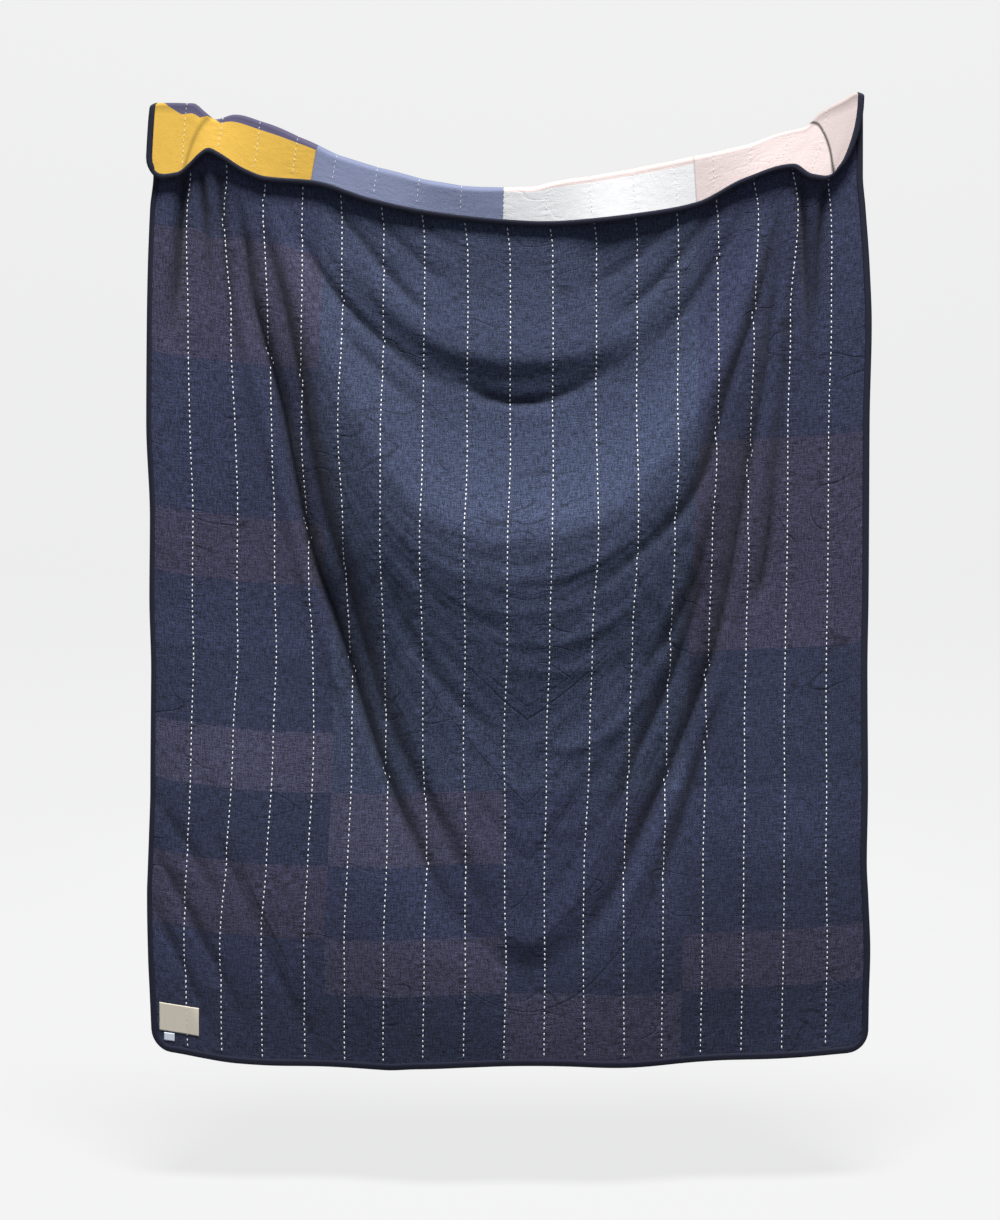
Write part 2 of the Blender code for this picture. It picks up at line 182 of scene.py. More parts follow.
# Folds of the hanging panel: height towards the front, reach to the fold's left or upper
# side, reach to its right or lower side, and the points along it from its first end
FOLDS = [
    ("upper_swag", 1.7, 1.7, [
        (-383, -7, 0, 30, 18), (-322, -110, 5.3, 40, 20), (-235, -210, 11, 60, 24),
        (-136, -286, 16.7, 85, 30), (-33, -318, 18.5, 100, 36), (81, -318, 17.6, 100, 36),
        (185, -296, 11.4, 85, 33), (252, -258, 5.7, 60, 30), (347, -157, 2.6, 40, 26),
        (451, -14, 0, 30, 22)]),
    ("left_ridge", 1.7, 1.7, [
        (-550, 6, 0, 16, 12), (-529, -128, 3.5, 16, 12), (-501, -262, 4.9, 16, 12),
        (-468, -414, 5.6, 16, 12), (-430, -556, 6.3, 16, 12), (-392, -698, 6.3, 18, 12),
        (-345, -850, 6.3, 18, 13), (-292, -993, 5.6, 18, 14), (-242, -1116, 4.9, 20, 14),
        (-178, -1230, 4.2, 22, 16), (-117, -1329, 3.5, 24, 18), (-37, -1420, 0, 26, 20)]),
    ("left_crease", 1.4, 1.4, [
        (-518, 4, 0, 10, 10), (-495, -100, -12, 10, 10), (-480, -204, -14, 10, 11),
        (-451, -309, -14, 10, 11), (-423, -414, -15, 10, 11), (-400, -537, -16, 10, 11),
        (-366, -689, -17, 10, 12), (-328, -794, -17, 11, 12), (-288, -917, -17, 11, 12),
        (-246, -1050, -16, 12, 13), (-200, -1164, -15, 12, 14), (-138, -1288, -8, 13, 16),
        (-90, -1367, -3, 17, 20), (-37, -1424, 0, 22, 24)]),
    ("inner_left", 1.5, 1.5, [
        (-474, -24, 0, 11, 12), (-447, -119, -9, 12, 13), (-417, -227, -13, 12, 14),
        (-389, -347, -15, 13, 15), (-364, -490, -15, 13, 16), (-335, -622, -15, 13, 16),
        (-295, -746, -14, 14, 17), (-256, -888, -12, 14, 17), (-218, -1006, -10, 15, 17),
        (-166, -1116, -9, 16, 18), (-105, -1221, -8, 17, 20), (-48, -1326, -7, 18, 22),
        (-5, -1402, 0, 20, 24)]),
    ("right_a", 1.4, 1.4, [
        (71, -797, 0, 16, 16), (147, -769, -3, 14, 15), (214, -714, -5, 13, 14),
        (280, -655, -8, 13, 13), (335, -594, -12, 13, 13), (373, -518, -14, 14, 12),
        (404, -404, -14, 13, 11), (436, -309, -13, 9, 10), (466, -224, -12, 9, 10),
        (495, -113, -10, 9, 9), (520, -5, 0, 9, 9)]),
    ("right_b", 1.4, 1.4, [
        (100, -1436, 0, 20, 20), (147, -1392, -2.5, 18, 18), (199, -1316, -7, 14, 14),
        (252, -1196, -13, 11, 12), (305, -1088, -13, 11, 12), (354, -968, -13, 11, 11),
        (396, -850, -12, 10, 11), (423, -718, -11, 10, 10), (442, -604, -10, 10, 10),
        (461, -490, -9, 9, 10), (484, -366, -8, 9, 9), (501, -224, -7, 9, 9),
        (525, -34, 0, 9, 9)]),
    ("right_ridge", 1.6, 1.6, [
        (176, -1420, 0, 16, 18), (237, -1306, 7.8, 13, 18), (297, -1177, 9.1, 13, 18),
        (347, -1063, 9.1, 12, 18), (389, -946, 9.1, 12, 18), (419, -812, 9.1, 11, 16),
        (446, -698, 7.8, 10, 16), (468, -584, 7.8, 10, 14), (491, -452, 6.5, 10, 12),
        (518, -280, 5.2, 9, 11), (541, -72, 0, 9, 11)]),
    ("right_c", 1.5, 1.5, [
        (466, -797, 0, 9, 10), (482, -736, -14.3, 9, 9), (495, -651, -14.3, 9, 9),
        (504, -546, -7.8, 9, 9), (520, -394, -6.5, 9, 9), (537, -204, -7.8, 9, 9),
        (550, -52, 0, 9, 9)]),
    ("right_d", 1.5, 1.5, [
        (252, -1392, 0, 12, 13), (294, -1272, -7.8, 11, 12), (335, -1154, -9.1, 10, 11),
        (370, -1040, -9.1, 10, 11), (408, -946, 0, 10, 11)]),
    ("right_e", 1.5, 1.5, [
        (176, -1183, 0, 13, 13), (210, -1136, -9.1, 12, 12), (240, -1063, -10.4, 11, 12),
        (280, -974, -11.7, 11, 11), (320, -879, -11.7, 10, 11), (354, -774, -10.4, 10, 11),
        (377, -698, 0, 10, 11)]),
    ("right_f", 1.5, 1.5, [
        (252, -911, 0, 12, 12), (294, -850, -10.4, 11, 11), (332, -774, -11.7, 10, 11),
        (362, -698, -10.4, 10, 11), (389, -584, 0, 10, 11)]),
    ("right_pleat", 1.6, 1.6, [
        (556, 12, -10, 9, 9), (563, -62, -18, 9, 9), (567, -166, -16, 9, 9),
        (571, -262, -9, 9, 10), (579, -414, 0, 9, 10)]),
    ("right_pleat_b", 1.6, 1.6, [
        (601, 12, -8, 9, 9), (592, -72, -14, 9, 9), (586, -186, -12, 9, 9), (588, -300, 0, 9, 9)]),
    ("left_pleat", 1.6, 1.6, [
        (-611, 27, -16, 10, 10), (-620, -62, -20, 11, 11), (-628, -176, -15, 11, 12),
        (-643, -300, 0, 12, 13)]),
    ("left_pleat_b", 1.6, 1.6, [
        (-579, 31, -14, 10, 10), (-573, -37, -16, 10, 10), (-569, -110, -9, 10, 11),
        (-563, -242, 0, 11, 12)]),
    ("left_pleat_c", 1.6, 1.6, [
        (-546, 27, -12, 9, 10), (-537, -72, -13, 10, 10), (-525, -204, -8, 10, 11),
        (-508, -356, 0, 10, 11)]),
    ("fine_a", 1.4, 1.4, [
        (-352, 4, 0, 9, 9), (-299, -64, -8, 9, 9), (-242, -136, -9, 9, 9), (-185, -204, -7, 9, 9),
        (-128, -254, 0, 9, 9)]),
    ("fine_b", 1.4, 1.4, [
        (-280, -14, 0, 9, 9), (-219, -79, -6, 9, 9), (-159, -140, -6, 9, 9),
        (-94, -189, 0, 9, 9)]),
    ("fine_c", 1.4, 1.4, [
        (-200, -26, 0, 9, 9), (-147, -72, -5, 9, 9), (-79, -113, -3, 9, 9), (-14, -144, 0, 9, 9)]),
    ("fine_h", 1.4, 1.4, [
        (-409, -56, 0, 9, 9), (-360, -144, -9, 9, 9), (-307, -216, -10, 9, 10),
        (-242, -280, -8, 9, 10), (-166, -341, -4, 10, 11), (-90, -385, 0, 11, 11)]),
    ("fine_i", 1.4, 1.4, [
        (-337, -239, 0, 9, 9), (-271, -315, -6, 9, 9), (-204, -379, -5, 9, 10),
        (-128, -429, 0, 10, 11)]),
    ("lobe", 1.5, 1.5, [
        (-105, -356, 0, 11, 11), (-33, -394, -9, 12, 12), (43, -402, -10, 12, 12),
        (123, -379, -6, 11, 12), (218, -322, 0, 11, 11)]),
    ("fine_d", 1.4, 1.4, [
        (176, -262, 0, 9, 9), (252, -204, -6, 9, 9), (320, -132, -8, 9, 9), (389, -37, -6, 9, 9),
        (415, 1, 0, 9, 9)]),
    ("fine_e", 1.4, 1.4, [
        (134, -189, 0, 9, 9), (210, -151, -5, 9, 9), (278, -90, -6, 9, 9), (347, -14, 0, 9, 9)]),
    ("fine_f", 1.4, 1.4, [
        (128, -132, 0, 9, 9), (191, -102, -4, 9, 9), (252, -49, 0, 9, 9)]),
    ("fine_g", 1.4, 1.4, [
        (271, -303, 0, 9, 9), (335, -227, -6, 9, 9), (396, -132, -7, 9, 9), (453, -14, 0, 9, 9)]),
    ("fine_j", 1.4, 1.4, [
        (-337, -34, 0, 9, 9), (-257, -204, -3, 9, 9), (-197, -300, 0, 9, 9)]),
    ("under_a", 1.5, 1.5, [
        (-105, -710, 0, 13, 9), (-14, -736, 2.4, 13, 9), (81, -736, 3, 13, 9),
        (168, -704, 3, 13, 9), (244, -645, 0, 12, 9)]),
    ("under_b", 1.5, 1.5, [
        (-117, -767, 0, 13, 9), (-14, -797, 1.8, 13, 9), (90, -794, 2.4, 13, 9),
        (187, -756, 2.4, 13, 9), (271, -680, 0, 12, 9)]),
    ("under_c", 1.5, 1.5, [
        (-71, -832, 0, 13, 9), (24, -854, 2.4, 13, 9), (119, -850, 3, 13, 9),
        (206, -805, 3, 13, 9), (280, -727, 0, 12, 9)]),
    ("under_d", 1.5, 1.5, [
        (-33, -892, 0, 12, 9), (52, -908, 1.8, 12, 9), (138, -904, 2.4, 12, 9),
        (221, -862, 2.4, 12, 9), (297, -774, 0, 11, 9)]),
    ("under_e", 1.5, 1.5, [
        (24, -1031, 0, 15, 10), (109, -1052, 3, 15, 10), (187, -1025, 3.6, 14, 10),
        (261, -946, 3.6, 14, 10), (335, -812, 0, 13, 10)]),
    ("under_f", 1.5, 1.5, [
        (-242, -698, 0, 13, 12), (-200, -797, -4.2, 12, 13), (-147, -896, -4.2, 13, 14),
        (-79, -976, -3.5, 14, 14), (-5, -1029, 0, 15, 15)]),
    ("under_g", 1.5, 1.5, [
        (-200, -670, 0, 13, 12), (-157, -746, -2.4, 12, 13), (-105, -816, -2.4, 13, 14),
        (-41, -870, 0, 14, 14)]),
    ("under_h", 1.5, 1.5, [
        (62, -1212, 0, 17, 12), (138, -1196, 2.4, 15, 11), (210, -1128, 2.4, 14, 11),
        (271, -1031, 0, 14, 12)]),
    ("low_left_a", 1.5, 1.5, [
        (-679, -1126, 0, 11, 11), (-630, -1196, -4.5, 10, 11), (-579, -1272, -4.5, 10, 11),
        (-531, -1354, 0, 11, 13)]),
    ("low_left_b", 1.5, 1.5, [
        (-679, -1221, 0, 11, 11), (-630, -1306, -6, 10, 11), (-579, -1402, -6, 10, 11),
        (-523, -1506, -3.8, 11, 12), (-478, -1610, 0, 12, 13)]),
    ("low_left_c", 1.5, 1.5, [
        (-679, -1326, 0, 11, 11), (-637, -1411, -6, 10, 11), (-592, -1506, -4.5, 10, 11),
        (-546, -1610, 0, 11, 12)]),
    ("low_left_d", 1.5, 1.5, [
        (-493, -1344, 0, 12, 12), (-444, -1443, -4, 11, 12), (-398, -1544, -4, 11, 12),
        (-360, -1626, 0, 12, 13)]),
    ("low_left_e", 1.5, 1.5, [
        (-573, -1177, 0, 12, 12), (-523, -1268, -4, 11, 12), (-466, -1373, -4, 11, 12),
        (-413, -1468, 0, 12, 13)]),
]

# Slow waves towards the bottom hem: x of the crest, height, reach
WAVES = [
    (-520, 9, 90), (-330, -8, 80), (-150, 9, 85), (20, -6, 80), (180, 7, 80), (350, -7, 80),
    (520, 8, 85),
]
WAVE_TOP = -0.75
WAVE_FULL = -1.45

# Where the rows of patches end along the cut length, from the flap's hem to the bottom hem
ROW_ENDS = (0.094, 0.235, 0.36, 0.49, 0.604, 0.756, 0.898, 1.022, 1.155, 1.297, 1.411, 1.548,
            1.687, 1.791, 1.93)

# Colours of the patches (mustard, slate, dusky, white, pink, copper, black, grey), and where
# each lies in the four columns, row by row
PATCH_TONES = {
    "M": (0.82, 0.50, 0.082),
    "S": (0.245, 0.275, 0.410),
    "D": (0.136, 0.120, 0.203),
    "W": (0.94, 0.93, 0.91),
    "P": (0.89, 0.74, 0.70),
    "C": (0.45, 0.23, 0.16),
    "K": (0.030, 0.036, 0.065),
    "G": (0.40, 0.40, 0.36),
}
PATCHES = ("MDDCWSKPSDWKSSC", "SSWMDDPSCKSWDPK", "WPSKSMDWSCDSPKW", "PPWDCPPCKSGPKWD")

# How the patches look through the backing: l light, b mauve, g bluish, m middle, d dark
THROUGH_TONES = {
    "l": (0.046, 0.046, 0.082),
    "b": (0.044, 0.040, 0.075),
    "g": (0.034, 0.044, 0.083),
    "m": (0.029, 0.034, 0.072),
    "d": (0.024, 0.029, 0.061),
}
THROUGH = ("mmmbbmmbmdldbmd", "ggggggggggglmld", "gggggggggggmmdl", "mmmmmmbbbddmdbd")

# Painted shade along the creases below the two grips on the flap: where on the crest, slant,
# width, shade tone in the crease and shade tone beyond it, where the cloth turns away
GRIPS = (
    {"at": 0.130, "slant": -0.40, "width": 0.009, "dark": 0.62, "shade_beyond": 1.0},
    {"at": 1.307, "slant": 0.80, "width": 0.0048, "dark": 0.12, "shade_beyond": 0.83},
)

# The two labels in millimetres, how far their right end hangs lower, and their grid
LABELS = {
    "maker_label": {"left": -657, "right": -581, "top": -1533, "foot": -1586, "fall": 10,
                    "cells": (38, 26)},
    "care_label": {"left": -648, "right": -628, "top": -1590, "foot": -1605, "fall": 2,
                   "cells": (10, 8)},
}


def smooth(table, column, at):
    """Value of a table's column at the first column's values, without overshoot."""
    xs = np.array([row[0] for row in table]) * MM
    ys = np.array([row[column] for row in table]) * MM
    step = np.diff(xs)
    slope = np.diff(ys) / step
    tangent = np.zeros(len(xs))
    same = slope[:-1] * slope[1:] > 0
    safe = np.where(same, slope[:-1] + slope[1:], 1.0)
    tangent[1:-1] = np.where(same, 2 * slope[:-1] * slope[1:] / safe, 0.0)
    tangent[0] = slope[0]
    tangent[-1] = slope[-1]
    at = np.clip(at, xs[0], xs[-1])
    k = np.clip(np.searchsorted(xs, at) - 1, 0, len(step) - 1)
    t = (at - xs[k]) / step[k]
    start = ys[k] * (1 + 2 * t) * (1 - t) ** 2 + step[k] * tangent[k] * t * (1 - t) ** 2
    end = ys[k + 1] * t * t * (3 - 2 * t) - step[k] * tangent[k + 1] * t * t * (1 - t)
    return start + end


def ease(value):
    value = np.clip(value, 0.0, 1.0)
    return value * value * (3 - 2 * value)


def sideways(share, z):
    """Sideways pull of the folds on the panel, smooth across it and along it."""
    place = np.clip(share, 0, 1) * 8
    k = np.clip(place.astype(int), 0, 7)
    t = ease(place - k)
    heights = np.array([row[0] for row in PULL]) * MM
    values = np.array([row[1:] for row in PULL]) * MM
    j = np.clip(np.searchsorted(heights, z) - 1, 0, len(heights) - 2)
    s = ease((z - heights[j]) / (heights[j + 1] - heights[j]))
    low = values[j, k] * (1 - t) + values[j, k + 1] * t
    high = values[j + 1, k] * (1 - t) + values[j + 1, k + 1] * t
    return low * (1 - s) + high * s


def round_line(rows, step=0.025):
    """A smooth curve through a fold's points, with its height and reaches along it."""
    table = np.array(rows, float) * MM
    ends = np.vstack([2 * table[0] - table[1], table, 2 * table[-1] - table[-2]])
    out = []
    for k in range(len(table) - 1):
        a, b, c, d = ends[k:k + 4]
        count = max(2, int(np.hypot(*(c - b)[:2]) / step))
        for t in np.arange(count) / count:
            spot = 0.5 * (2 * b + (c - a) * t + (2 * a - 5 * b + 4 * c - d) * t * t
                          + (3 * b - a - 3 * c + d) * t ** 3)
            spot[2:] = b[2:] + (c[2:] - b[2:]) * t
            out.append(spot)
    out.append(table[-1])
    out = np.array(out)
    return out[:, :2], out[:, 2:]


def to_segment(line, k, x, z):
    """Distance to the line's segment k, the share of the way along it, and which side."""
    step = line[k + 1] - line[k]
    length = np.hypot(*step)
    dx, dz = step / length
    run = np.clip((x - line[k, 0]) * dx + (z - line[k, 1]) * dz, 0.0, length)
    off_x = x - line[k, 0] - run * dx
    off_z = z - line[k, 1] - run * dz
    return np.hypot(off_x, off_z), run / length, dx * off_z - dz * off_x


def nearest(line, x, z):
    """Distance to a line, whether each point lies on its left, and where along it."""
    best = np.full(x.shape, np.inf)
    side = np.zeros(x.shape)
    place = np.zeros(x.shape)
    for k in range(len(line) - 1):
        distance, share, turn = to_segment(line, k, x, z)
        nearer = distance < best
        best = np.where(nearer, distance, best)
        side = np.where(nearer, turn, side)
        place = np.where(nearer, k + share, place)
    return best, side > 0, place


def along_line(sizes, place, column):
    return np.interp(place, np.arange(len(sizes)), sizes[:, column])


def fold_height(fold, x, z):
    """Height of one fold at each point: a soft ridge along its line."""
    _, first_roundness, second_roundness, rows = fold
    line, sizes = round_line(rows)
    distance, first, place = nearest(line, x, z)
    reach = np.where(first, along_line(sizes, place, 1), along_line(sizes, place, 2))
    roundness = np.where(first, first_roundness, second_roundness)
    return along_line(sizes, place, 0) * np.exp(-(distance / reach) ** roundness)


def swag_height(x, z):
    """The big swag: it rises to its front line from above and hangs on from there.

    Its borders fade out downwards, where the cloth beside it comes forward too.
    """
    line, sizes = round_line(SWAG)
    distance, above, place = nearest(line, x, z)
    rising = np.zeros(x.shape)
    for k in range(len(line) - 1):
        gap, share, _ = to_segment(line, k, x, z)
        height = sizes[k, 0] + (sizes[k + 1, 0] - sizes[k, 0]) * share
        reach = sizes[k, 1] + (sizes[k + 1, 1] - sizes[k, 1]) * share
        rising = np.maximum(rising, height * np.exp(-(gap / reach) ** SWAG_RISE))
    border, inside, _ = nearest(round_line(SWAG_BORDER)[0], x, z)
    stays = SWAG_STAYS * ease((SWAG_FADE_TOP - z) / SWAG_FADE)
    share = distance / (distance + border)
    hanging = np.where(inside, 1.0 - share ** along_line(sizes, place, 2) * (1.0 - stays),
                       stays * np.exp(-(border / SWAG_SPREAD) ** 2))
    return np.where(above, rising, along_line(sizes, place, 0) * hanging)


def relief(x, z):
    """How far the hanging panel comes forward at each point."""
    total = swag_height(x, z)
    for fold in FOLDS:
        total += fold_height(fold, x, z)
    low = ease((WAVE_TOP - z) / (WAVE_TOP - WAVE_FULL))
    for centre, height, reach in WAVES:
        total += low * height * MM * np.exp(-((x - centre * MM) / (reach * MM)) ** 2)
    return total


def drape(points):
    """Coordinates that follow the swag, how deep in a sharp fold (for painted shade), and how wide
    its folds are.
    """
    x, z = points[..., 0], points[..., 2]
    line, sizes = round_line(SWAG)
    distance, above, place = nearest(line, x, z)
    border, inside, _ = nearest(round_line(SWAG_BORDER)[0], x, z)
    reach = along_line(sizes, place, 1)
    down = np.where(above, -distance / (DRAPE_ABOVE * reach), distance / (distance + border))
    down = np.where(inside | above, down, 1.0 + border / DRAPE_OUTSIDE)
    fade = np.where(above, ease(1.0 - distance / STREAK_FADE), ease(border / STREAK_FADE))
    width = np.where(inside | above, (distance + border) * fade, 0.0)
    # Depth in the hollow folds, which darkens the backing's colour as painted shade in its creases
    shade_depth = np.zeros(x.shape)
    for fold in FOLDS:
        shade_depth -= np.minimum(fold_height(fold, x, z), 0.0)
    along = place / (len(line) - 1)
    folded = [np.clip(shade_depth / FULL_SHADE_DEPTH, 0, 1), np.clip(width / FULL_WIDTH, 0, 1)]
    return np.stack([along, down], axis=-1), np.stack(folded, axis=-1)


def flap_shape(u):
    """Crest, flap hem, roll radius, turning angle and straight length at each distance across."""
    crest_x = smooth(ACROSS, 1, u)
    hem_x = smooth(ACROSS, 2, u)
    crest_z = smooth(TOP_EDGE, 1, crest_x)
    radius = smooth(TOP_EDGE, 2, crest_x)
    lean = smooth(TOP_EDGE, 3, crest_x)
    drop = crest_z - smooth(FLAP_HEM, 1, hem_x) - radius
    straight = np.sqrt(lean ** 2 + drop ** 2 - radius ** 2)
    turn = np.arctan2(drop, lean) + np.arctan2(radius, straight)
    return crest_x, crest_z, hem_x, radius, turn, straight


def hang(u, v):
    """Point of the hung quilt: v runs to 1 up the flap, to 2 over the roll, to 3 down the panel."""
    crest_x, crest_z, hem_x, radius, turn, straight = flap_shape(u)
    share = u / CUT_WIDTH

    down = np.clip(1 - v, 0.0, 1.0) * straight
    angle = turn - np.clip(v - 1, 0.0, 1.0) * (turn + np.pi / 2)
    forward = radius * np.sin(angle) + down * np.cos(turn)
    below = radius * (1 - np.cos(angle)) + down * np.sin(turn)
    gone = np.clip((radius * angle + down) / (radius * turn + straight), 0.0, 1.0)
    x = crest_x + (hem_x - crest_x) * gone ** smooth(ACROSS, 3, u)
    z = crest_z - below

    fall = np.clip(v - 2, 0.0, 1.0)
    foot_z = smooth(FOOT, 1, crest_x)
    panel_z = z - fall * (z - foot_z)
    left = smooth(SIDES, 1, panel_z)
    right = smooth(SIDES, 2, panel_z)
    panel_x = left + share * (right - left) + sideways(share, panel_z)
    hung = crest_z - radius - panel_z
    x = np.where(v > 2, x + (panel_x - x) * ease(hung / SIDE_SETTLE), x)
    z = np.where(v > 2, panel_z, z)
    calm = ease(hung / SETTLE)
    curled = calm * ease((panel_z - foot_z - CURL_FOOT) / CURL_FADE)
    near = u / SIDE_CURL_WIDTH
    x = x - np.where(v > 2, SIDE_DRAW * curled * near * np.exp(1 - near), 0.0)
    curl = SIDE_CURL * curled * np.exp(-near)
    depth = forward + np.where(v > 2, (radius - ROLL) * calm + (relief(x, z) - curl) * calm, 0.0)
    return np.stack([x, -depth, z], axis=-1)


def round_corner(across, up, reach_across, reach_up):
    """Draws the corner of a rectangle in to an arc; the distances are from its two edges."""
    a = np.clip(1 - across / reach_across, 0.0, 1.0)
    b = np.clip(1 - up / reach_up, 0.0, 1.0)
    size = np.maximum(np.hypot(a, b), 1e-9)
    pull = np.maximum(a, b) / size
    inside = (a > 0) & (b > 0)
    new_across = np.where(inside, reach_across * (1 - a * pull), across)
    new_up = np.where(inside, reach_up * (1 - b * pull), up)
    return new_across, new_up


def unit(vectors):
    return vectors / np.maximum(np.linalg.norm(vectors, axis=-1, keepdims=True), 1e-12)


def quilt_grid(u_line, up_line, roll_steps, panel_steps):
    """Points, normals and flat coordinates, row by row from the flap's hem to the bottom hem.

    up_line holds the distances from either hem of the rows near it, out to the corner's reach.
    """
    crest_x, crest_z, _, radius, turn, straight = flap_shape(u_line)
    panel = crest_z - radius - smooth(FOOT, 1, crest_x)
    corner_up = np.minimum(CORNER, 0.8 * straight)
    on_left = u_line < CUT_WIDTH / 2
    rows_u = []
    rows_v = []

    def corner_row(up, reach):
        left_u, left_up = round_corner(u_line, up, CORNER, reach)
        right_u, right_up = round_corner(CUT_WIDTH - u_line, up, CORNER, reach)
        return np.where(on_left, left_u, CUT_WIDTH - right_u), np.where(on_left, left_up, right_up)

    for up in np.interp(up_line, [0.0, TAPE_ARM, CORNER], [0.0, FLAP_ARM, CORNER]):
        row_u, row_up = corner_row(up / CORNER * corner_up, corner_up)
        rows_u.append(row_u)
        rows_v.append(row_up / straight)
    for step in range(1, FLAP_STEPS):
        up = corner_up + (straight - corner_up) * step / FLAP_STEPS
        rows_u.append(u_line)
        rows_v.append(up / straight)
    for step in range(roll_steps):
        rows_u.append(u_line)
        rows_v.append(np.full(u_line.shape, 1 + step / roll_steps))
    foot_share = 1 - CORNER / panel
    for part in np.linspace(0, 1, panel_steps + 1):
        rows_u.append(u_line)
        rows_v.append(2 + part * foot_share)
    for up in up_line[::-1][1:]:
        row_u, row_up = corner_row(np.full(u_line.shape, up), CORNER)
        rows_u.append(row_u)
        rows_v.append(3 - row_up / panel)
    u = np.array(rows_u)
    v = np.array(rows_v)
    points = hang(u, v)
    normal = unit(np.cross(np.gradient(points, axis=1), np.gradient(points, axis=0)))
    return points, normal, u, v, flat_length(points, v)


def flat_length(points, v):
    """Distance along the cut cloth, true from the bottom hem up and eased in to the crest."""
    steps = np.linalg.norm(np.diff(points, axis=0), axis=-1)
    run = np.vstack([np.zeros(points.shape[1]), np.cumsum(steps, axis=0)])
    out = np.zeros(run.shape)
    for col in range(run.shape[1]):
        crest = run[:, col][np.argmax(points[:, col, 2])]
        past = run[:, col] - crest
        upper = run[:, col] / crest * FLAP_LENGTH
        near_crest = FLAP_LENGTH + past
        from_foot = CUT_LENGTH - run[-1, col] + run[:, col]
        part = ease(past / CREST_BLEND)
        lower = near_crest * (1 - part) + from_foot * part
        out[:, col] = np.where(past < 0, upper, lower)
    return out


def puff_height(u, v):
    """The cloth swells between the stitched rows and lies flat in them and at its edges."""
    edge = ease(np.minimum(u, CUT_WIDTH - u) / PUFF_EDGE)
    return PUFF * edge * np.abs(np.sin(np.pi * u / ROW_PITCH)) ** 0.8


def add_object(name, data):
    """A new object in the scene."""
    obj = bpy.data.objects.new(name, data)
    bpy.context.scene.collection.objects.link(obj)
    return obj


def grid_object(name, points, maps):
    """A grid mesh object with its UV maps; "flat" holds its flat coordinates in metres."""
    rows, cols = points.shape[:2]
    bm = bmesh.new()
    bmesh.ops.create_grid(bm, x_segments=cols - 1, y_segments=rows - 1, size=1)
    layers = [(bm.loops.layers.uv.new(key), values) for key, values in maps.items()]
    place = {}
    for vert in bm.verts:
        col = round((vert.co.x + 1) / 2 * (cols - 1))
        row = round((vert.co.y + 1) / 2 * (rows - 1))
        place[vert.index] = (row, col)
    for face in bm.faces:
        for loop in face.loops:
            for layer, values in layers:
                loop[layer].uv = values[place[loop.vert.index]]
    for vert in bm.verts:
        vert.co = points[place[vert.index]]
    data = bpy.data.meshes.new(name)
    bm.to_mesh(data)
    bm.free()
    data.shade_smooth()
    return add_object(name, data)


def flip(obj):
    bm = bmesh.new()
    bm.from_mesh(obj.data)
    bmesh.ops.reverse_faces(bm, faces=bm.faces)
    bm.to_mesh(obj.data)
    bm.free()


def thicken(obj, thickness):
    """Solidify outwards along the normals, applied to the mesh."""
    solid = obj.modifiers.new("thickness", "SOLIDIFY")
    solid.thickness = thickness
    solid.offset = 1.0
    bpy.context.view_layer.update()
    graph = bpy.context.evaluated_depsgraph_get()
    data = bpy.data.meshes.new_from_object(obj.evaluated_get(graph))
    obj.modifiers.clear()
    obj.data = data
    data.shade_smooth()


# Materials


